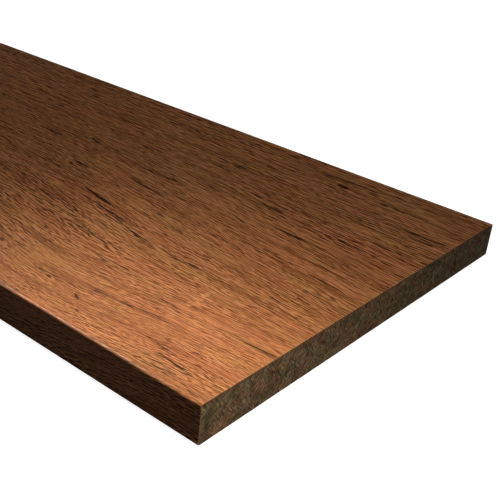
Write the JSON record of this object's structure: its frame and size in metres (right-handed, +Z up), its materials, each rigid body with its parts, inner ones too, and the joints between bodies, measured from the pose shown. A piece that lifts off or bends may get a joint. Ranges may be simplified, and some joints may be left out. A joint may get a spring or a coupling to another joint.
{
  "type": "bamboo stair riser",
  "caption": "Flat stair riser board of dark strand-woven bamboo, with eased long edges and square sawn ends, that closes the upright of a step between two treads.",
  "frame": {"origin": "centre of the back, the face that the board lies on", "axes": "+X along the strands and the length, +Y across the board from the lower edge to the upper edge, +Z up through the thickness to the finished face"},
  "size_m": [1.2192, 0.1906, 0.015],
  "materials": {
    "strand_bamboo": "satin"
  },
  "bodies": {
    "root": {"riser_board": "strand_bamboo"}
  },
  "joints": []
}
